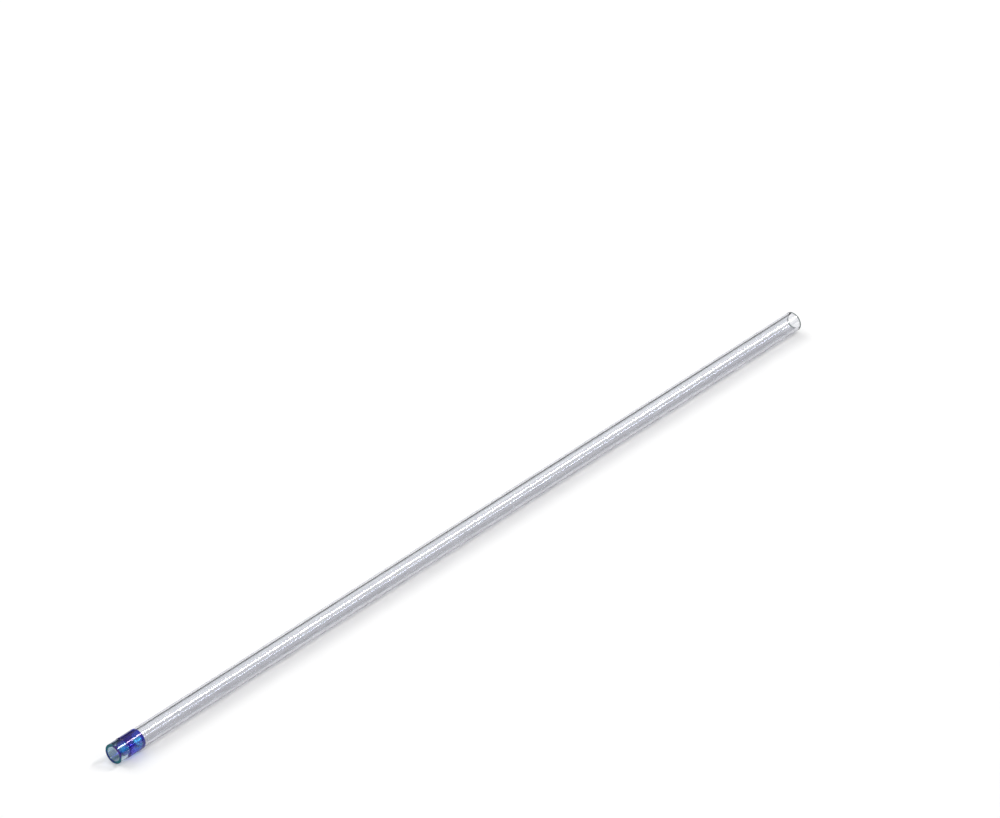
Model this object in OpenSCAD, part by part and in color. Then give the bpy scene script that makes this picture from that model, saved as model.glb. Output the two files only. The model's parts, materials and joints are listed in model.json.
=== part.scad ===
// Glass capillary tube with a colour-code band.
//
// One length of thin-walled drawn glass, open right through, with both cut
// ends flame polished, and a thin ring of translucent blue colour fired on to
// the outside near one end.
//
// The tube lies along X on the plane Z = 0, with the marked end towards -X
// and the origin under the middle of its length. Millimetres, +Z up.

/* [Glass] */
// Length over both ends
tube_length = 75; // [25:0.5:150]
// Diameter of the bore
bore_d = 1.15; // [0.5:0.05:2]
// Thickness of the glass wall
wall = 0.2; // [0.1:0.01:0.4]
// Radius that flame polishing leaves on the edges of both ends
polish_r = 0.04; // [0.01:0.01:0.04]

/* [Colour band] */
// Clear glass between the end face and the band
band_gap = 0.9; // [0.1:0.1:5]
// Length of the band along the tube
band_length = 1.6; // [0.8:0.1:5]
// Thickness of the colour halfway along the band
band_t = 0.02; // [0.01:0.005:0.05]
// Height of the dried bead at each edge above the middle of the band
bead_rise = 0.01; // [0.005:0.005:0.03]
// Width of the bead at each edge
bead_w = 0.16; // [0.16:0.01:0.3]

/* [Hidden] */

// Facets of a turned surface, of a small arc, and of the long shallow arc
TURN_FN = 96;
ARC_FN = 48;
SHALLOW_FN = 2880;

bore_r = bore_d / 2;
tube_r = bore_r + wall;

// The band's own section, measured outwards from the glass
bead_h = band_t + bead_rise;
crest = bead_w / 2;
crest_span = band_length - bead_w;
bead_arc_r = arc_radius(bead_w, bead_h);
hollow_r = arc_radius(crest_span, bead_rise);

// The tube rests on the band's beads, so its axis is this high
axis_z = tube_r + bead_h;

// Radius of the arc that rises by `rise` over a chord `chord` long
function arc_radius(chord, rise) = (chord * chord / 4 + rise * rise) / (2 * rise);

// Turn a section about the tube's axis. In the section, x is the distance
// from the axis and y runs along the tube from the marked end.
module turned() {
    translate([-tube_length / 2, 0, axis_z])
        rotate([0, 90, 0])
            rotate_extrude($fn = TURN_FN)
                children();
}

// Cut through the glass wall: a long strip with its four corners rounded
module wall_section() {
    translate([bore_r, polish_r])
        square([wall, tube_length - 2 * polish_r]);
    translate([bore_r + polish_r, 0])
        square([wall - 2 * polish_r, tube_length]);
    for (x = [bore_r + polish_r, tube_r - polish_r])
        for (y = [polish_r, tube_length - polish_r])
            translate([x, y])
                circle(r = polish_r, $fn = ARC_FN);
}

// Rounded bead at one edge of the band, with its crest at height y
module bead_section(y) {
    translate([tube_r + bead_h - bead_arc_r, y])
        circle(r = bead_arc_r, $fn = ARC_FN);
}

// Colour between the two crests, slightly hollow where it dried thinner
module film_section() {
    difference() {
        translate([tube_r, crest])
            square([bead_h, crest_span]);
        translate([tube_r + band_t + hollow_r, band_length / 2])
            circle(r = hollow_r, $fn = SHALLOW_FN);
    }
}

module band_section() {
    intersection() {
        translate([tube_r, 0])
            square([bead_h, band_length]);
        union() {
            bead_section(crest);
            bead_section(band_length - crest);
            film_section();
        }
    }
}

module glass_tube() {
    color([0.86, 0.92, 0.95, 0.4])
        turned() wall_section();
}

module colour_band() {
    color([0.05, 0.25, 0.72, 0.8])
        turned() translate([0, band_gap]) band_section();
}

glass_tube();
colour_band();
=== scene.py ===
# Looks of a glass capillary tube with a blue colour band: drawn glass, fired colour, polished rims,
# and the floor, lamps and camera to see them by.

import json
import math

import bpy
from mathutils import Matrix, Vector


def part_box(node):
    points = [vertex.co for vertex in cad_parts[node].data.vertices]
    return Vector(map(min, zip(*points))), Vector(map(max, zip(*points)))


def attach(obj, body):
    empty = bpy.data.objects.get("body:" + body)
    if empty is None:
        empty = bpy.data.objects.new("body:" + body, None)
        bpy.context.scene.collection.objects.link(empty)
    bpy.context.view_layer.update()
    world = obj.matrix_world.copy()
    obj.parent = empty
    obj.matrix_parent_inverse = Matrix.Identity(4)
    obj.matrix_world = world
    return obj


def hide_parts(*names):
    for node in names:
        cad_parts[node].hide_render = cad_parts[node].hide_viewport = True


MM = 0.001

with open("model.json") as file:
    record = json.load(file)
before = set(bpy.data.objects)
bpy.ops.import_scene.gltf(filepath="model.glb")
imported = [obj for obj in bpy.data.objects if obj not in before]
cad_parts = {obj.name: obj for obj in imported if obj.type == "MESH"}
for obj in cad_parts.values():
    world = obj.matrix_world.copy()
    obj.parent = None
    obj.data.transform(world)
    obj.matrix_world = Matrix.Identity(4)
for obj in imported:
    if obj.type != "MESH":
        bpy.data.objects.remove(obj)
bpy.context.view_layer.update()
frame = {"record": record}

# ---------------------------------------------------------------- sizes from the frame

mounts = {mount["name"]: mount for mount in frame["record"]["mounts"]}
glass_low, glass_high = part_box("glass_tube")
band_low, band_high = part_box("colour_band")

AXIS_HEIGHT = mounts["bore"]["pos_m"][2]
BORE_RADIUS = mounts["bore"]["dims"]["r_mm"] * MM
TUBE_RADIUS = mounts["outside"]["dims"]["r_mm"] * MM
TUBE_START = glass_low.x
TUBE_END = glass_high.x
# The straight bore stops short of each end by the radius that the flame leaves
POLISH_RADIUS = (TUBE_END - TUBE_START - mounts["bore"]["dims"]["length_mm"] * MM) / 2
BAND_START = band_low.x
BAND_END = band_high.x
BAND_CENTRE = (BAND_START + BAND_END) / 2
BAND_HALF = (BAND_END - BAND_START) / 2
BEAD_HEIGHT = band_high.z - AXIS_HEIGHT - TUBE_RADIUS

# ---------------------------------------------------------------- sizes of the finish

# The bead along each edge of the band, and how far the film sinks between the two
BEAD_WIDTH = 0.1 * (BAND_END - BAND_START)
FILM_SINK = BEAD_HEIGHT / 3
# How far the band's edges wander along the tube, how many waves of it go round,
# and how far apart in the noise the two edges are cut
EDGE_WANDER = 0.03 * MM
EDGE_WAVES = 1.6
EDGE_APART = 3.7
# Noise between 0 and 1 strays about this far from its middle
NOISE_REACH = 0.25
# A point this share of half the band beyond its edge still moves with the edge
EDGE_SLACK = 0.001
# The glass under the colour is set back a hair, so the two faces don't lie in one place
CONTACT_STEP = 0.002 * MM
# Straight glass next to each polished rim, which keeps the shading of the long wall straight
RIM_LAND = 0.2 * MM

TURN_STEPS = 144
RIM_STEPS = 8
BAND_STEPS = 49
SHARP_EDGE = math.radians(30)
WELD_GAP = 0.0002 * MM

GLASS_IOR = 1.52

# ---------------------------------------------------------------- node helpers


def add(tree, kind, **settings):
    """A new node of this kind with its properties set."""
    node = tree.nodes.new(kind)
    for name, value in settings.items():
        setattr(node, name, value)
    return node


def feed(tree, socket, value):
    """Give a socket a link or a plain value."""
    if isinstance(value, bpy.types.NodeSocket):
        tree.links.new(value, socket)
    else:
        socket.default_value = value


def math_node(tree, operation, *values):
    """A math node's result."""
    node = add(tree, "ShaderNodeMath", operation=operation)
    for socket, value in zip(node.inputs, values):
        feed(tree, socket, value)
    return node.outputs[0]


def combine(tree, x, y, z):
    """A vector from three values."""
    node = add(tree, "ShaderNodeCombineXYZ")
    for socket, value in zip(node.inputs, (x, y, z)):
        feed(tree, socket, value)
    return node.outputs["Vector"]


def separate(tree, vector):
    """The three values of a vector."""
    node = add(tree, "ShaderNodeSeparateXYZ")
    feed(tree, node.inputs["Vector"], vector)
    return node.outputs


def length(tree, vector):
    """How long a vector is."""
    node = add(tree, "ShaderNodeVectorMath", operation="LENGTH")
    feed(tree, node.inputs[0], vector)
    return node.outputs["Value"]


def off_axis(tree, y, z, axis_height):
    """Height above the tube's axis, and distance from it."""
    up = math_node(tree, "SUBTRACT", z, axis_height)
    return up, length(tree, combine(tree, 0.0, y, up))


# ---------------------------------------------------------------- material helpers


def new_material(name):
    """An empty node material, its tree and its output's surface socket."""
    material = bpy.data.materials.new(name)
    material.use_nodes = True
    tree = material.node_tree
    tree.nodes.clear()
    output = add(tree, "ShaderNodeOutputMaterial")
    return material, tree, output.inputs["Surface"]


def object_place(tree):
    """Object coordinates, on which every pattern here lies."""
    return add(tree, "ShaderNodeTexCoord").outputs["Object"]


def grain(tree, repeats, centre, detail=2.0, shift=(0.0, 0.0, 0.0)):
    """Noise between 0 and 1, with so many repeats in a metre (X, Y, Z) about centre.

    shift picks the piece of the noise that lies there."""
    mapping = add(tree, "ShaderNodeMapping", vector_type="POINT")
    feed(tree, mapping.inputs["Vector"], object_place(tree))
    mapping.inputs["Scale"].default_value = repeats
    mapping.inputs["Location"].default_value = [
        moved - middle * often for middle, often, moved in zip(centre, repeats, shift)
    ]
    noise = add(tree, "ShaderNodeTexNoise")
    feed(tree, noise.inputs["Vector"], mapping.outputs["Vector"])
    noise.inputs["Scale"].default_value = 1.0
    noise.inputs["Detail"].default_value = detail
    return noise.outputs["Fac"]


def remap(tree, value, span, result=(0.0, 1.0)):
    """A value carried from one span to another, with smooth ends."""
    node = add(tree, "ShaderNodeMapRange", interpolation_type="SMOOTHSTEP")
    feed(tree, node.inputs["Value"], value)
    for names, limits in ((("From Min", "From Max"), span), (("To Min", "To Max"), result)):
        for name, limit in zip(names, limits):
            node.inputs[name].default_value = limit
    return node.outputs["Result"]


def blend_colour(tree, factor, first, second):
    """A colour between two others."""
    node = add(tree, "ShaderNodeMix", data_type="RGBA")
    feed(tree, node.inputs["Factor"], factor)
    for socket, colour in ((node.inputs[6], first), (node.inputs[7], second)):
        if isinstance(colour, tuple):
            colour = (*colour, 1.0)
        feed(tree, socket, colour)
    return node.outputs[2]


def bump(tree, pattern, height, under=None):
    """A normal from a pattern between 0 and 1 that stands this high, in metres, where it is 1."""
    node = add(tree, "ShaderNodeBump")
    node.inputs["Strength"].default_value = 1.0
    node.inputs["Distance"].default_value = height
    feed(tree, node.inputs["Height"], pattern)
    if under is not None:
        feed(tree, node.inputs["Normal"], under)
    return node.outputs["Normal"]


def edge_on(tree, span):
    """From 0 where a face is seen straight on to 1 where it is seen edge-on."""
    facing = add(tree, "ShaderNodeLayerWeight")
    facing.inputs["Blend"].default_value = 0.5
    return remap(tree, facing.outputs["Facing"], span)


def let_light_by(tree, shader, colour):
    """The same shader, but a lamp's light also passes straight through on its way to the table."""
    clear = add(tree, "ShaderNodeBsdfTransparent")
    clear.inputs["Color"].default_value = (*colour, 1.0)
    mix = add(tree, "ShaderNodeMixShader")
    feed(tree, mix.inputs[0], add(tree, "ShaderNodeLightPath").outputs["Is Shadow Ray"])
    feed(tree, mix.inputs[1], shader)
    feed(tree, mix.inputs[2], clear.outputs["BSDF"])
    return mix.outputs["Shader"]


# How much light each face lets by on its way to the table
LIGHT_BY_GLASS = (0.52, 0.51, 0.52)
LIGHT_BY_FILM = (0.91, 0.94, 0.98)
LIGHT_BY_SEAT = (0.88, 0.92, 0.97)

# Sides of the tube, as the way (Y, Z) that each faces: the upper back, darkened as painted shade,
# where the bore gets the least light, and the low front, lightened as painted light next to the band
PAINTED_SHADE_SIDE = (0.6, 0.8)
SHADED_SIDE = (0.7, -0.7)
PAINTED_LIGHT_SIDE = (-0.7, -0.7)


def towards(tree, side):
    """How far a place lies towards one side of the tube: 1 on the outside there, -1 opposite."""
    _, y, z = separate(tree, object_place(tree))
    up = math_node(tree, "SUBTRACT", z, AXIS_HEIGHT)
    lean = math_node(
        tree, "ADD",
        math_node(tree, "MULTIPLY", y, side[0]),
        math_node(tree, "MULTIPLY", up, side[1]),
    )
    return math_node(tree, "DIVIDE", lean, TUBE_RADIUS)


# ---------------------------------------------------------------- drawn glass

# A span gives where a change begins and where it is full. Grain is in repeats a metre (X, Y, Z),
# and its height in metres.

# Clear glass in the valleys and on the crests of its lines, and how dark it turns edge-on: a little
# from the longer path through the glass, the rest painted shade for a dark outline
GLASS_DEEP = (0.77, 0.78, 0.82)
GLASS_PALE = (0.91, 0.915, 0.935)
GLASS_EDGE_TINT_AND_SHADE = (0.50, 0.52, 0.57)
GLASS_EDGE_SPAN = (0.48, 0.78)
# The band's blue light, painted onto the wall between the band and the rim next to it, outside and
# edge-on: how much of it there is, and how far it takes to fade out under the band
GLASS_PAINTED_BAND_LIGHT = (0.13, 0.48, 0.55)
GLASS_EDGE_PAINTED_BAND_LIGHT = (0.16, 0.50, 0.70)
PAINTED_BAND_LIGHT_SHARE = 0.80
PAINTED_BAND_LIGHT_FADE = 0.2 * MM
# Painted shade: the same, darker on the upper back side, where it turns dark sooner edge-on
GLASS_PAINTED_SHADE = (0.02, 0.08, 0.24)
GLASS_EDGE_PAINTED_SHADE = (0.010, 0.035, 0.070)
PAINTED_SHADE_EDGE_SPAN = (0.20, 0.42)
PAINTED_SHADE_GLASS_SPAN = (0.45, 0.90)
# Painted light on the low front side: near-clear glass and a pale edge in place of the painted blue
GLASS_PAINTED_LIGHT = (0.80, 0.97, 1.00)
PAINTED_LIGHT_SPAN = (0.50, 0.92)
# The bore by that rim, and its shaded side
BORE_BY_BAND = (0.93, 0.90, 0.85)
BORE_IN_SHADE = (0.06, 0.03, 0.08)
BORE_SHADE_SPAN = (0.2, 0.7)
# The lines and the broad ripple that drawing leaves along the glass, with the lines' gloss
LINES = (45.0, 9000.0, 9000.0)
LINE_HEIGHT = 0.1e-6
LINE_TINT_SPAN = (0.35, 0.65)
LINE_ROUGH_SPAN = (0.45, 0.75)
LINE_ROUGHNESS = (0.0, 0.02)
RIPPLE = (30.0, 900.0, 900.0)
RIPPLE_HEIGHT = 0.2e-6


def glass_colour(tree, lines):
    """The glass's colour: nearly clear, but painted with the band's blue light, and with painted
    light and shade, between the band and the rim next to it.
    """
    x, y, z = separate(tree, object_place(tree))
    _, radius = off_axis(tree, y, z, AXIS_HEIGHT)
    outside = remap(tree, radius, (BORE_RADIUS, TUBE_RADIUS))
    # Painted light: the band's blue on the wall next to the rim, fading out under the band
    by_rim = remap(tree, x, (BAND_START - PAINTED_BAND_LIGHT_FADE, BAND_START + PAINTED_BAND_LIGHT_FADE), (1.0, 0.0))
    painted_band_light = math_node(tree, "MULTIPLY", by_rim, PAINTED_BAND_LIGHT_SHARE)
    # Painted shade towards the upper back
    painted_shade = remap(tree, towards(tree, PAINTED_SHADE_SIDE), PAINTED_SHADE_GLASS_SPAN)
    # Painted light: paler glass and a paler edge towards the low front
    painted_light = remap(tree, towards(tree, PAINTED_LIGHT_SIDE), PAINTED_LIGHT_SPAN)
    shade = remap(tree, towards(tree, SHADED_SIDE), BORE_SHADE_SPAN)
    bore = blend_colour(tree, shade, BORE_BY_BAND, BORE_IN_SHADE)
    wall = blend_colour(tree, painted_shade, GLASS_PAINTED_BAND_LIGHT, GLASS_PAINTED_SHADE)
    wall = blend_colour(tree, painted_light, wall, GLASS_PAINTED_LIGHT)
    blue = blend_colour(tree, outside, bore, wall)
    clear = blend_colour(tree, remap(tree, lines, LINE_TINT_SPAN), GLASS_DEEP, GLASS_PALE)
    face = blend_colour(tree, painted_band_light, clear, blue)
    painted_band_light_edge = blend_colour(tree, painted_light, GLASS_EDGE_PAINTED_BAND_LIGHT, GLASS_PAINTED_LIGHT)
    edge = blend_colour(tree, painted_band_light, GLASS_EDGE_TINT_AND_SHADE, painted_band_light_edge)
    colour = blend_colour(tree, edge_on(tree, GLASS_EDGE_SPAN), face, edge)
    # Painted shade: a dark edge on the upper back, next to the rim
    dark = math_node(
        tree, "MULTIPLY",
        math_node(tree, "MULTIPLY", by_rim, outside),
        math_node(tree, "MULTIPLY", painted_shade, edge_on(tree, PAINTED_SHADE_EDGE_SPAN)),
    )
    return blend_colour(tree, dark, colour, GLASS_EDGE_PAINTED_SHADE)


def drawn_glass():
    """Clear glass with the faint lengthwise lines of drawing."""
    material, tree, surface = new_material("drawn_glass")
    centre = (0.0, 0.0, AXIS_HEIGHT)
    lines = grain(tree, LINES, centre)
    ripple = grain(tree, RIPPLE, centre, detail=1.0)
    glass = add(tree, "ShaderNodeBsdfPrincipled")
    glass.inputs["Transmission Weight"].default_value = 1.0
    glass.inputs["IOR"].default_value = GLASS_IOR
    feed(tree, glass.inputs["Base Color"], glass_colour(tree, lines))
    feed(tree, glass.inputs["Roughness"], remap(tree, lines, LINE_ROUGH_SPAN, LINE_ROUGHNESS))
    rippled = bump(tree, ripple, RIPPLE_HEIGHT)
    feed(tree, glass.inputs["Normal"], bump(tree, lines, LINE_HEIGHT, rippled))
    feed(tree, surface, let_light_by(tree, glass.outputs["BSDF"], LIGHT_BY_GLASS))
    return material


def wetted_glass():
    """Glass where the colour is fused to it: nothing bends or reflects light there."""
    material, tree, surface = new_material("glass_under_colour")
    clear = add(tree, "ShaderNodeBsdfTransparent")
    feed(tree, surface, clear.outputs["BSDF"])
    return material


# ---------------------------------------------------------------- fired colour

# The film where it is thin, where it leans to violet, where it is thicker (also the navy of the
# painted shade on its upper back), and where seen edge-on (partly the longer path through it, partly
# painted shade)
SKY_BLUE = (0.20, 0.68, 0.97)
VIOLET_BLUE = (0.33, 0.25, 0.90)
EDGE_NAVY = (0.050, 0.040, 0.50)
FILM_EDGE_TINT_AND_SHADE = (0.008, 0.010, 0.080)
FILM_EDGE_SPAN = (0.55, 0.85)
# Broad patches of hue, with the piece of the noise that they are cut from
HUE_PATCHES = (900.0, 1300.0, 1300.0)
HUE_SHIFT = (41.3, 6.1, 2.5)
HUE_SPAN = (0.40, 0.62)
# Clouds in the film, and the streaks that the brush left round the tube
CLOUDS = (1700.0, 1700.0, 1700.0)
CLOUD_HEIGHT = 3.0e-6
CLOUD_NAVY_SPAN = (0.42, 0.75)
CLOUD_ROUGH_SPAN = (0.3, 0.7)
STREAKS = (14000.0, 700.0, 700.0)
STREAK_HEIGHT = 0.8e-6
STREAK_SPAN = (0.45, 0.75)
# The dark beads at the edge by the rim and at the other, from -1 to 1 along the band
RIM_BEAD_SPAN = (-0.56, -0.88)
TUBE_BEAD_SPAN = (0.42, 0.80)
# Where the painted shade on the upper back of the band begins and where it is full
PAINTED_SHADE_BAND_SPAN = (0.12, 0.54)
# How much navy each of these adds
BEAD_NAVY = 0.88
CLOUD_NAVY = 0.17
STREAK_NAVY = 0.12
# The last is painted shade: navy added on the upper back of the band
PAINTED_SHADE_NAVY = 0.80
# The film's gloss
FILM_TRANSMISSION = 0.94
FILM_SPECULAR = 0.35
FILM_SPECULAR_TINT = (1.0, 0.74, 0.90, 1.0)
FILM_ROUGHNESS = (0.07, 0.14)


def band_colour(tree):
    """The band's colour, the clouds and the streaks in it, and painted shade on its upper back."""
    x = separate(tree, object_place(tree))["X"]
    along = math_node(tree, "DIVIDE", math_node(tree, "SUBTRACT", x, BAND_CENTRE), BAND_HALF)
    centre = (BAND_CENTRE, 0.0, AXIS_HEIGHT)
    clouds = grain(tree, CLOUDS, centre)
    streaks = grain(tree, STREAKS, centre)
    hue = grain(tree, HUE_PATCHES, centre, shift=HUE_SHIFT)
    film = blend_colour(tree, remap(tree, hue, HUE_SPAN), SKY_BLUE, VIOLET_BLUE)
    beads = math_node(
        tree, "MAXIMUM",
        remap(tree, along, TUBE_BEAD_SPAN, (0.0, BEAD_NAVY)),
        remap(tree, along, RIM_BEAD_SPAN, (0.0, BEAD_NAVY)),
    )
    clouded = remap(tree, clouds, CLOUD_NAVY_SPAN, (0.0, CLOUD_NAVY))
    streaked = remap(tree, streaks, STREAK_SPAN, (0.0, STREAK_NAVY))
    # Painted shade: more navy towards the upper back of the band
    painted_shade = remap(tree, towards(tree, PAINTED_SHADE_SIDE), PAINTED_SHADE_BAND_SPAN, (0.0, PAINTED_SHADE_NAVY))
    navy = math_node(tree, "ADD", math_node(tree, "ADD", clouded, streaked), painted_shade)
    navy = math_node(tree, "MAXIMUM", navy, beads)
    return blend_colour(tree, navy, film, EDGE_NAVY), clouds, streaks


def fired_colour():
    """The outer face of the band: glossy translucent blue."""
    material, tree, surface = new_material("fired_blue_colour")
    colour, clouds, streaks = band_colour(tree)
    # Darker edge-on: partly the longer path through the colour, partly painted shade
    colour = blend_colour(tree, edge_on(tree, FILM_EDGE_SPAN), colour, FILM_EDGE_TINT_AND_SHADE)
    film = add(tree, "ShaderNodeBsdfPrincipled")
    film.inputs["Transmission Weight"].default_value = FILM_TRANSMISSION
    film.inputs["IOR"].default_value = GLASS_IOR
    film.inputs["Specular Tint"].default_value = FILM_SPECULAR_TINT
    film.inputs["Specular IOR Level"].default_value = FILM_SPECULAR
    feed(tree, film.inputs["Base Color"], colour)
    roughness = remap(tree, clouds, CLOUD_ROUGH_SPAN, FILM_ROUGHNESS)
    feed(tree, film.inputs["Roughness"], roughness)
    clouded = bump(tree, clouds, CLOUD_HEIGHT)
    feed(tree, film.inputs["Normal"], bump(tree, streaks, STREAK_HEIGHT, clouded))
    feed(tree, surface, let_light_by(tree, film.outputs["BSDF"], LIGHT_BY_FILM))
    return material


def colour_on_glass():
    """The inner face of the band, fused to the glass: it tints what passes and bends nothing."""
    material, tree, surface = new_material("colour_fused_to_glass")
    tint = add(tree, "ShaderNodeBsdfTransparent")
    feed(tree, tint.inputs["Color"], band_colour(tree)[0])
    feed(tree, surface, let_light_by(tree, tint.outputs["BSDF"], LIGHT_BY_SEAT))
    return material


# ---------------------------------------------------------------- polished rims

# Painted light and shade on the rims, for the light that the wall carries out to them: from the band
# at one end, plain glass at the other
RIM_TEAL = (0.001, 0.15, 0.18)
RIM_VIOLET = (0.065, 0.020, 0.25)
RIM_NAVY = (0.010, 0.040, 0.22)
RIM_GREY = (0.20, 0.25, 0.26)
RIM_GREEN = (0.33, 0.42, 0.40)
# Patches that shift where one colour turns into the other, and by how much
RIM_PATCHES = (1200.0, 1200.0, 1200.0)
RIM_PATCH_SHIFT = -0.6
RIM_TURN_SPAN = (-0.55, 0.0)
RIM_SIDE_BLEND = 0.3 * TUBE_RADIUS
# The grain of the polish, and its gloss
RIM_GRAIN = (9000.0, 9000.0, 9000.0)
RIM_GRAIN_HEIGHT = 0.6e-6
RIM_GRAIN_SPAN = (0.3, 0.7)
RIM_ROUGHNESS = (0.02, 0.08)
RIM_TRANSMISSION = 0.10
RIM_SPECULAR = 0.15


def polished_rim(name, main, upper_front, lower_back):
    """A flame-polished rim, coloured with painted light for the light that the glass wall carries
    along inside.

    The front is its -Y side. The main colour lies at its upper back and lower front, a painted change
    by side."""
    material, tree, surface = new_material(name)
    centre = (0.0, 0.0, AXIS_HEIGHT)
    patches = grain(tree, RIM_PATCHES, centre)
    polish = grain(tree, RIM_GRAIN, centre)
    _, y, z = separate(tree, object_place(tree))
    up = math_node(tree, "SUBTRACT", z, AXIS_HEIGHT)
    quarter = math_node(
        tree, "MULTIPLY",
        math_node(tree, "DIVIDE", y, TUBE_RADIUS),
        math_node(tree, "DIVIDE", up, TUBE_RADIUS),
    )
    shifted = math_node(tree, "MULTIPLY", patches, RIM_PATCH_SHIFT)
    # Painted light: which colour shows on which side of the rim
    turn = remap(tree, math_node(tree, "ADD", quarter, shifted), RIM_TURN_SPAN, (1.0, 0.0))
    behind = remap(tree, y, (-RIM_SIDE_BLEND, RIM_SIDE_BLEND))
    other = blend_colour(tree, behind, upper_front, lower_back)
    rim = add(tree, "ShaderNodeBsdfPrincipled")
    rim.inputs["Transmission Weight"].default_value = RIM_TRANSMISSION
    rim.inputs["Specular IOR Level"].default_value = RIM_SPECULAR
    rim.inputs["IOR"].default_value = GLASS_IOR
    feed(tree, rim.inputs["Base Color"], blend_colour(tree, turn, main, other))
    feed(tree, rim.inputs["Roughness"], remap(tree, polish, RIM_GRAIN_SPAN, RIM_ROUGHNESS))
    feed(tree, rim.inputs["Normal"], bump(tree, polish, RIM_GRAIN_HEIGHT))
    feed(tree, surface, rim.outputs["BSDF"])
    return material


# ---------------------------------------------------------------- geometry helpers


def new_tree(name, sizes):
    """A geometry tree that makes a mesh from named sizes. sizes maps each name to its default."""
    tree = bpy.data.node_groups.new(name, "GeometryNodeTree")
    for size, value in sizes.items():
        kind = "NodeSocketInt" if isinstance(value, int) else "NodeSocketFloat"
        socket = tree.interface.new_socket(name=size, in_out="INPUT", socket_type=kind)
        socket.default_value = value
    tree.interface.new_socket(name="Geometry", in_out="OUTPUT", socket_type="NodeSocketGeometry")
    start = add(tree, "NodeGroupInput")
    end = add(tree, "NodeGroupOutput")
    return tree, start.outputs, end.inputs["Geometry"]


def point_place(tree):
    """The three values of each point's place."""
    return separate(tree, add(tree, "GeometryNodeInputPosition").outputs["Position"])


def band_ends(tree, sizes):
    """Where the band starts and ends along the tube."""
    centre, half = sizes["Band centre"], sizes["Band half"]
    return math_node(tree, "SUBTRACT", centre, half), math_node(tree, "ADD", centre, half)


def polyline(tree, points):
    """A curve through points, each given as (place along the tube, distance from its axis)."""
    line = add(tree, "GeometryNodeCurvePrimitiveLine")
    steps = add(tree, "GeometryNodeResampleCurve")
    steps.inputs["Count"].default_value = len(points)
    feed(tree, steps.inputs["Curve"], line.outputs["Curve"])
    choose = add(tree, "GeometryNodeIndexSwitch", data_type="VECTOR")
    for _ in range(len(points) - len(choose.index_switch_items)):
        choose.index_switch_items.new()
    feed(tree, choose.inputs["Index"], add(tree, "GeometryNodeInputIndex").outputs["Index"])
    for socket, (along, radius) in zip(list(choose.inputs)[1:], points):
        feed(tree, socket, combine(tree, radius, along, 0.0))
    place = add(tree, "GeometryNodeSetPosition")
    feed(tree, place.inputs["Geometry"], steps.outputs["Curve"])
    feed(tree, place.inputs["Position"], choose.outputs["Output"])
    return place.outputs["Geometry"]


def paint(tree, geometry, material, chosen=None):
    """Give a surface its material, or only its chosen faces."""
    node = add(tree, "GeometryNodeSetMaterial")
    feed(tree, node.inputs["Geometry"], geometry)
    if chosen is not None:
        feed(tree, node.inputs["Selection"], chosen)
    node.inputs["Material"].default_value = material
    return node.outputs["Geometry"]


def turned(tree, section, steps, axis_height, material):
    """Turn a section (x = distance from the axis, y = place along the tube) into a surface."""
    ring = add(tree, "GeometryNodeCurvePrimitiveCircle", mode="RADIUS")
    feed(tree, ring.inputs["Resolution"], steps)
    feed(tree, ring.inputs["Radius"], TUBE_RADIUS)
    on_ring = add(tree, "GeometryNodeTransform")
    feed(tree, on_ring.inputs["Geometry"], section)
    on_ring.inputs["Translation"].default_value = (-TUBE_RADIUS, 0.0, 0.0)
    sweep = add(tree, "GeometryNodeCurveToMesh")
    feed(tree, sweep.inputs["Curve"], ring.outputs["Curve"])
    feed(tree, sweep.inputs["Profile Curve"], on_ring.outputs["Geometry"])
    lay = add(tree, "GeometryNodeTransform")
    feed(tree, lay.inputs["Geometry"], sweep.outputs["Mesh"])
    lay.inputs["Rotation"].default_value = (0.0, -math.pi / 2, 0.0)
    feed(tree, lay.inputs["Translation"], combine(tree, 0.0, 0.0, axis_height))
    return paint(tree, lay.outputs["Geometry"], material)


def join(tree, parts):
    """Several surfaces as one."""
    node = add(tree, "GeometryNodeJoinGeometry")
    for part in parts:
        tree.links.new(part, node.inputs["Geometry"])
    return node.outputs["Geometry"]


def wander_edges(tree, geometry, sizes):
    """Let the band's edges wander along the tube, alike on the colour and on the glass under it."""
    x, y, z = point_place(tree)
    up, radius = off_axis(tree, y, z, sizes["Axis height"])
    along = math_node(tree, "SUBTRACT", x, sizes["Band centre"])
    round_place = combine(
        tree,
        math_node(tree, "MULTIPLY", math_node(tree, "SIGN", along), EDGE_APART),
        math_node(tree, "MULTIPLY", math_node(tree, "DIVIDE", y, radius), EDGE_WAVES),
        math_node(tree, "MULTIPLY", math_node(tree, "DIVIDE", up, radius), EDGE_WAVES),
    )
    noise = add(tree, "ShaderNodeTexNoise")
    noise.inputs["Scale"].default_value = 1.0
    noise.inputs["Detail"].default_value = 2.0
    feed(tree, noise.inputs["Vector"], round_place)
    wave = math_node(tree, "SUBTRACT", noise.outputs["Fac"], 0.5)
    share = math_node(tree, "DIVIDE", math_node(tree, "ABSOLUTE", along), sizes["Band half"])
    reach = math_node(tree, "MULTIPLY", wave, share)
    push = math_node(tree, "MULTIPLY", reach, EDGE_WANDER / NOISE_REACH)
    on_band = math_node(tree, "LESS_THAN", share, 1.0 + EDGE_SLACK)
    outside = math_node(tree, "GREATER_THAN", radius, (BORE_RADIUS + TUBE_RADIUS) / 2)
    move = add(tree, "GeometryNodeSetPosition")
    feed(tree, move.inputs["Geometry"], geometry)
    feed(tree, move.inputs["Selection"], math_node(tree, "MULTIPLY", on_band, outside))
    feed(tree, move.inputs["Offset"], combine(tree, push, 0.0, 0.0))
    return move.outputs["Geometry"]


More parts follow.
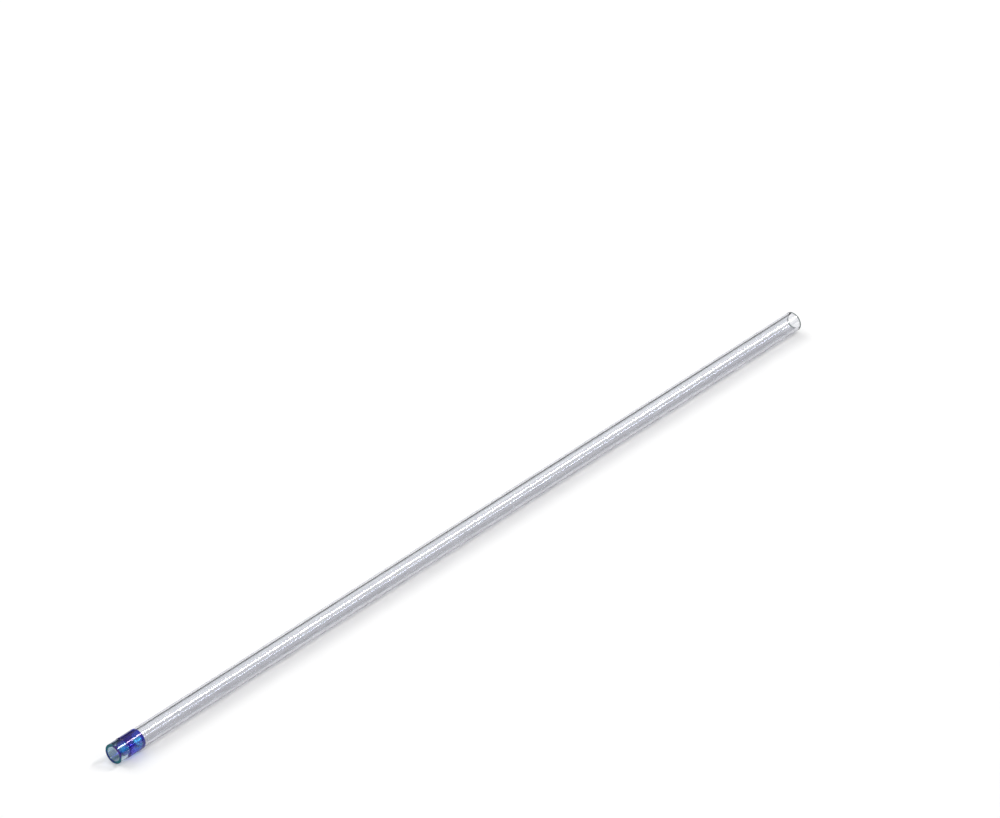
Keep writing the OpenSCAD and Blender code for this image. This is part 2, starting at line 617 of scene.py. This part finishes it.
def close_up(tree, geometry, result):
    """Weld the seams, shade smooth except over sharp edges, and hand the mesh out."""
    weld = add(tree, "GeometryNodeMergeByDistance")
    feed(tree, weld.inputs["Geometry"], geometry)
    weld.inputs["Distance"].default_value = WELD_GAP
    smooth = add(tree, "GeometryNodeSetShadeSmooth", domain="FACE")
    feed(tree, smooth.inputs["Geometry"], weld.outputs["Geometry"])
    crease = add(tree, "GeometryNodeSetShadeSmooth", domain="EDGE")
    feed(tree, crease.inputs["Geometry"], smooth.outputs["Geometry"])
    angle = add(tree, "GeometryNodeInputMeshEdgeAngle").outputs["Unsigned Angle"]
    feed(tree, crease.inputs["Selection"], math_node(tree, "GREATER_THAN", angle, SHARP_EDGE))
    crease.inputs["Shade Smooth"].default_value = False
    whole = add(tree, "GeometryNodeRealizeInstances")
    feed(tree, whole.inputs["Geometry"], crease.outputs["Geometry"])
    feed(tree, result, whole.outputs["Geometry"])


# ---------------------------------------------------------------- the glass tube

GLASS_SIZES = {
    "Start": TUBE_START,
    "End": TUBE_END,
    "Bore radius": BORE_RADIUS,
    "Tube radius": TUBE_RADIUS,
    "Polish radius": POLISH_RADIUS,
    "Rim land": RIM_LAND,
    "Contact step": CONTACT_STEP,
    "Axis height": AXIS_HEIGHT,
    "Band centre": BAND_CENTRE,
    "Band half": BAND_HALF,
    "Turn steps": TURN_STEPS,
    "Rim steps": RIM_STEPS,
}


def wall_section(tree, sizes):
    """The wall cut lengthwise from one edge of the band round to the other, its corners polished."""
    start, end, land = sizes["Start"], sizes["End"], sizes["Rim land"]
    outer, bore = sizes["Tube radius"], sizes["Bore radius"]
    band_start, band_end = band_ends(tree, sizes)
    start_land = math_node(tree, "ADD", start, land)
    end_land = math_node(tree, "SUBTRACT", end, land)
    under = math_node(tree, "SUBTRACT", outer, sizes["Contact step"])
    wall = polyline(tree, [
        (band_end, under),
        (band_end, outer),
        (end_land, outer),
        (end, outer),
        (end, bore),
        (end_land, bore),
        (start_land, bore),
        (start, bore),
        (start, outer),
        (start_land, outer),
        (band_start, outer),
        (band_start, under),
    ])
    strip = polyline(tree, [(band_start, under), (band_end, under)])
    along = point_place(tree)["Y"]
    at_start = math_node(tree, "COMPARE", along, start, WELD_GAP)
    at_end = math_node(tree, "COMPARE", along, end, WELD_GAP)
    at_corner = math_node(tree, "ADD", at_start, at_end)
    corner_radius = math_node(tree, "MULTIPLY", at_corner, sizes["Polish radius"])
    rounded = add(tree, "GeometryNodeFilletCurve", mode="POLY")
    feed(tree, rounded.inputs["Curve"], wall)
    feed(tree, rounded.inputs["Count"], sizes["Rim steps"])
    feed(tree, rounded.inputs["Radius"], corner_radius)
    return rounded.outputs["Curve"], strip


def glass_tree(glass, contact, marked_rim, plain_rim):
    """The glass wall turned in two parts: all that shows, and the strip under the band."""
    tree, sizes, result = new_tree("drawn_glass_tube", GLASS_SIZES)
    steps, height = sizes["Turn steps"], sizes["Axis height"]
    wall, strip = wall_section(tree, sizes)
    tube = turned(tree, wall, steps, height, glass)
    x = point_place(tree)["X"]
    marked_end = math_node(tree, "ADD", sizes["Start"], sizes["Polish radius"])
    tube = paint(tree, tube, marked_rim, math_node(tree, "LESS_THAN", x, marked_end))
    plain_end = math_node(tree, "SUBTRACT", sizes["End"], sizes["Polish radius"])
    tube = paint(tree, tube, plain_rim, math_node(tree, "GREATER_THAN", x, plain_end))
    shell = join(tree, [tube, turned(tree, strip, steps, height, contact)])
    close_up(tree, wander_edges(tree, shell, sizes), result)
    return tree


# ---------------------------------------------------------------- the colour band

BAND_SIZES = {
    "Band centre": BAND_CENTRE,
    "Band half": BAND_HALF,
    "Tube radius": TUBE_RADIUS,
    "Bead height": BEAD_HEIGHT,
    "Bead width": BEAD_WIDTH,
    "Film sink": FILM_SINK,
    "Axis height": AXIS_HEIGHT,
    "Turn steps": TURN_STEPS,
    "Band steps": BAND_STEPS,
}


def film_height(tree, along, sizes):
    """Height of the colour over the glass: round beads at both edges and a shallow hollow between."""
    high, wide, sink = sizes["Bead height"], sizes["Bead width"], sizes["Film sink"]
    half_bead = math_node(tree, "DIVIDE", wide, 2.0)
    crest = math_node(tree, "SUBTRACT", sizes["Band half"], half_bead)
    away = math_node(tree, "ABSOLUTE", along)
    # Radius of the arc that rises by the bead's height over the bead's width
    squares = math_node(
        tree, "ADD", math_node(tree, "POWER", half_bead, 2.0), math_node(tree, "POWER", high, 2.0)
    )
    arc = math_node(tree, "DIVIDE", squares, math_node(tree, "MULTIPLY", high, 2.0))
    past = math_node(tree, "SUBTRACT", away, crest)
    drop = math_node(
        tree, "SUBTRACT", math_node(tree, "POWER", arc, 2.0), math_node(tree, "MULTIPLY", past, past)
    )
    bead = math_node(
        tree, "ADD", math_node(tree, "SQRT", drop), math_node(tree, "SUBTRACT", high, arc)
    )
    share = math_node(tree, "DIVIDE", away, crest)
    hollow = math_node(tree, "SUBTRACT", 1.0, math_node(tree, "MULTIPLY", share, share))
    film = math_node(tree, "SUBTRACT", high, math_node(tree, "MULTIPLY", sink, hollow))
    choose = add(tree, "GeometryNodeSwitch", input_type="FLOAT")
    feed(tree, choose.inputs["Switch"], math_node(tree, "GREATER_THAN", away, crest))
    feed(tree, choose.inputs["False"], film)
    feed(tree, choose.inputs["True"], bead)
    return choose.outputs["Output"]


def film_section(tree, sizes):
    """The outer face of the band cut lengthwise, with its points crowded towards the two beads."""
    line = add(tree, "GeometryNodeCurvePrimitiveLine")
    points = add(tree, "GeometryNodeResampleCurve")
    feed(tree, points.inputs["Curve"], line.outputs["Curve"])
    feed(tree, points.inputs["Count"], sizes["Band steps"])
    index = add(tree, "GeometryNodeInputIndex").outputs["Index"]
    last = math_node(tree, "SUBTRACT", sizes["Band steps"], 1.0)
    turn = math_node(tree, "MULTIPLY", math_node(tree, "DIVIDE", index, last), math.pi)
    along = math_node(tree, "MULTIPLY", math_node(tree, "COSINE", turn), sizes["Band half"])
    along = math_node(tree, "MULTIPLY", along, -1.0)
    radius = math_node(tree, "ADD", sizes["Tube radius"], film_height(tree, along, sizes))
    centred = math_node(tree, "ADD", along, sizes["Band centre"])
    place = add(tree, "GeometryNodeSetPosition")
    feed(tree, place.inputs["Geometry"], points.outputs["Curve"])
    feed(tree, place.inputs["Position"], combine(tree, radius, centred, 0.0))
    return place.outputs["Geometry"]


def band_tree(film, contact):
    """The ring of colour turned in two parts: its outer face and the face fused to the glass."""
    tree, sizes, result = new_tree("fired_colour_band", BAND_SIZES)
    steps, height = sizes["Turn steps"], sizes["Axis height"]
    band_start, band_end = band_ends(tree, sizes)
    seat = polyline(tree, [(band_end, sizes["Tube radius"]), (band_start, sizes["Tube radius"])])
    shell = join(tree, [
        turned(tree, film_section(tree, sizes), steps, height, film),
        turned(tree, seat, steps, height, contact),
    ])
    close_up(tree, wander_edges(tree, shell, sizes), result)
    return tree


# ---------------------------------------------------------------- the two pieces


def build(name, tree, sizes):
    """Run a geometry tree and keep its result as a plain mesh."""
    maker = bpy.data.objects.new(name + "_maker", bpy.data.meshes.new(name + "_start"))
    bpy.context.scene.collection.objects.link(maker)
    modifier = maker.modifiers.new("shape", "NODES")
    modifier.node_group = tree
    for item in tree.interface.items_tree:
        if item.item_type == "SOCKET" and item.in_out == "INPUT":
            modifier[item.identifier] = sizes[item.name]
    bpy.context.view_layer.update()
    ready = maker.evaluated_get(bpy.context.evaluated_depsgraph_get())
    mesh = bpy.data.meshes.new_from_object(ready)
    mesh.name = name
    bpy.data.objects.remove(maker)
    piece = bpy.data.objects.new(name, mesh)
    bpy.context.scene.collection.objects.link(piece)
    return piece


glass_shape = glass_tree(
    drawn_glass(),
    wetted_glass(),
    polished_rim("rim_by_the_band", RIM_TEAL, RIM_VIOLET, RIM_NAVY),
    polished_rim("plain_rim", RIM_GREY, RIM_GREEN, RIM_GREEN),
)
glass_piece = build("clear_tube", glass_shape, GLASS_SIZES)
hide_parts("glass_tube")
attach(glass_piece, "root")

band_piece = build("blue_mark", band_tree(fired_colour(), colour_on_glass()), BAND_SIZES)
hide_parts("colour_band")
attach(band_piece, "root")

# ---------------------------------------------------------------- floor

FLOOR_RADIUS = 1.6
FLOOR_RISE = 0.10
FLOOR_LIP = 0.35
FLOOR_RINGS = 12
FLOOR_STEPS = 96
FLOOR_DROP = 0.001 * MM
FLOOR_WHITE = (0.90, 0.90, 0.90, 1.0)
# How much its white is lifted by the tube, and further out, where less of the lamps' light falls
NEAR_LIFT = 0.08
FAR_LIFT = 0.52
LIFT_SPAN = (0.08, 0.70)


def floor_mesh():
    """A round table top whose rim sweeps up a little, so no edge shows behind the tube."""
    flat = FLOOR_RADIUS - FLOOR_LIP
    shares = [ring / FLOOR_RINGS for ring in range(FLOOR_RINGS + 1)]
    points = [(0.0, 0.0, -FLOOR_DROP)]
    for share in shares:
        radius = flat + FLOOR_LIP * share
        height = FLOOR_RISE * share ** 2 - FLOOR_DROP
        for step in range(FLOOR_STEPS):
            angle = 2 * math.pi * step / FLOOR_STEPS
            points.append((radius * math.cos(angle), radius * math.sin(angle), height))
    faces = []
    for step in range(FLOOR_STEPS):
        after = (step + 1) % FLOOR_STEPS
        faces.append((0, 1 + step, 1 + after))
        for ring in range(FLOOR_RINGS):
            inner = 1 + ring * FLOOR_STEPS
            outer = inner + FLOOR_STEPS
            faces.append((inner + step, outer + step, outer + after, inner + after))
    mesh = bpy.data.meshes.new("table_top")
    mesh.from_pydata(points, [], faces)
    mesh.shade_smooth()
    return mesh


def floor_material():
    """Matt white, lifted to a clean white ground for what looks straight or through glass at it."""
    material, tree, surface = new_material("white_table")
    paper = add(tree, "ShaderNodeBsdfDiffuse")
    paper.inputs["Color"].default_value = FLOOR_WHITE
    glow = add(tree, "ShaderNodeEmission")
    path = add(tree, "ShaderNodeLightPath").outputs
    seen = math_node(tree, "MAXIMUM", path["Is Camera Ray"], path["Is Glossy Ray"])
    seen = math_node(tree, "MAXIMUM", seen, path["Is Transmission Ray"])
    away = length(tree, object_place(tree))
    lift = remap(tree, away, LIFT_SPAN, (NEAR_LIFT, FAR_LIFT))
    feed(tree, glow.inputs["Strength"], math_node(tree, "MULTIPLY", seen, lift))
    both = add(tree, "ShaderNodeAddShader")
    feed(tree, both.inputs[0], paper.outputs["BSDF"])
    feed(tree, both.inputs[1], glow.outputs["Emission"])
    feed(tree, surface, both.outputs["Shader"])
    return material


floor = bpy.data.objects.new("floor", floor_mesh())
floor.data.materials.append(floor_material())
bpy.context.scene.collection.objects.link(floor)

# ---------------------------------------------------------------- light

# A long softbox above the camera's side draws the highlight along the tube's upper third
KEY_PLACE = Vector((0.573, -0.262, 0.720))
KEY_LENGTH = 0.30
KEY_WIDTH = 0.16
KEY_POWER = 3.2
# A broad softbox behind the tube lets its shadow fall softly to the front
BACK_PLACE = Vector((-0.10, 0.52, 0.58))
BACK_SIZE = 0.50
BACK_POWER = 2.6
# The room is bright overhead and dark towards the horizon, which draws the glass's dark outline
SKY_LOW = 0.03
SKY_HIGH = 0.67
SKY_SPAN = (0.22, 0.72)
# Light goes to and fro many times inside a thin glass wall
LIGHT_BOUNCES = 48


def softbox(name, place, length, width, power):
    """A rectangular area lamp that faces the tube, with its long side along X."""
    lamp = bpy.data.lights.new(name, "AREA")
    lamp.shape = "RECTANGLE"
    lamp.size = length
    lamp.size_y = width
    lamp.energy = power
    box = bpy.data.objects.new(name, lamp)
    box.location = place
    box.rotation_mode = "QUATERNION"
    facing = place.normalized()
    side = Vector((1.0, 0.0, 0.0))
    side = (side - facing * side.dot(facing)).normalized()
    turn = Matrix((side, facing.cross(side), facing)).transposed()
    box.rotation_quaternion = turn.to_quaternion()
    bpy.context.scene.collection.objects.link(box)


def studio_world():
    """A soft dome of light, brightest overhead."""
    world = bpy.data.worlds.new("studio")
    world.use_nodes = True
    tree = world.node_tree
    tree.nodes.clear()
    output = add(tree, "ShaderNodeOutputWorld")
    sky = add(tree, "ShaderNodeBackground")
    height = separate(tree, add(tree, "ShaderNodeTexCoord").outputs["Generated"])["Z"]
    feed(tree, sky.inputs["Color"], remap(tree, height, SKY_SPAN, (SKY_LOW, SKY_HIGH)))
    feed(tree, output.inputs["Surface"], sky.outputs["Background"])
    return world


softbox("strip_softbox", KEY_PLACE, KEY_LENGTH, KEY_WIDTH, KEY_POWER)
softbox("back_softbox", BACK_PLACE, BACK_SIZE, BACK_SIZE, BACK_POWER)

scene = bpy.context.scene
scene.world = studio_world()
scene.view_settings.view_transform = "Standard"
scene.cycles.max_bounces = LIGHT_BOUNCES
scene.cycles.glossy_bounces = LIGHT_BOUNCES
scene.cycles.transmission_bounces = LIGHT_BOUNCES
scene.cycles.transparent_max_bounces = LIGHT_BOUNCES

# ---------------------------------------------------------------- camera

IMAGE_WIDTH = 1000
IMAGE_HEIGHT = 818
# Where the middle of the marked end stands in the picture, and how large a millimetre is there
MARKED_END_PIXEL = (113.2, 754.2)
PIXELS_PER_MM = 14.2
CAMERA_AZIMUTH = -48.65
CAMERA_ELEVATION = 33.4
CAMERA_LENS = 300.0
CAMERA_SENSOR = 36.0
CAMERA_NEAR = 0.01
CAMERA_FAR = 20.0


def aim_camera():
    """A long lens that looks down on the tube from beyond its marked end."""
    data = bpy.data.cameras.new("camera")
    data.lens = CAMERA_LENS
    data.sensor_width = CAMERA_SENSOR
    data.clip_start = CAMERA_NEAR
    data.clip_end = CAMERA_FAR
    azimuth, elevation = math.radians(CAMERA_AZIMUTH), math.radians(CAMERA_ELEVATION)
    back = Vector((
        math.sin(azimuth) * math.cos(elevation),
        -math.cos(azimuth) * math.cos(elevation),
        math.sin(elevation),
    ))
    turn = (-back).to_track_quat("-Z", "Y")
    right, up = turn @ Vector((1, 0, 0)), turn @ Vector((0, 1, 0))
    metre_in_pixels = PIXELS_PER_MM / MM
    depth = CAMERA_LENS / CAMERA_SENSOR * IMAGE_WIDTH / metre_in_pixels
    aside = (MARKED_END_PIXEL[0] - IMAGE_WIDTH / 2) / metre_in_pixels
    above = (IMAGE_HEIGHT / 2 - MARKED_END_PIXEL[1]) / metre_in_pixels
    marked_end = Vector((TUBE_START, 0.0, AXIS_HEIGHT))
    camera = bpy.data.objects.new("camera", data)
    camera.location = marked_end + back * depth - right * aside - up * above
    camera.rotation_mode = "QUATERNION"
    camera.rotation_quaternion = turn
    scene.collection.objects.link(camera)
    scene.camera = camera


aim_camera()
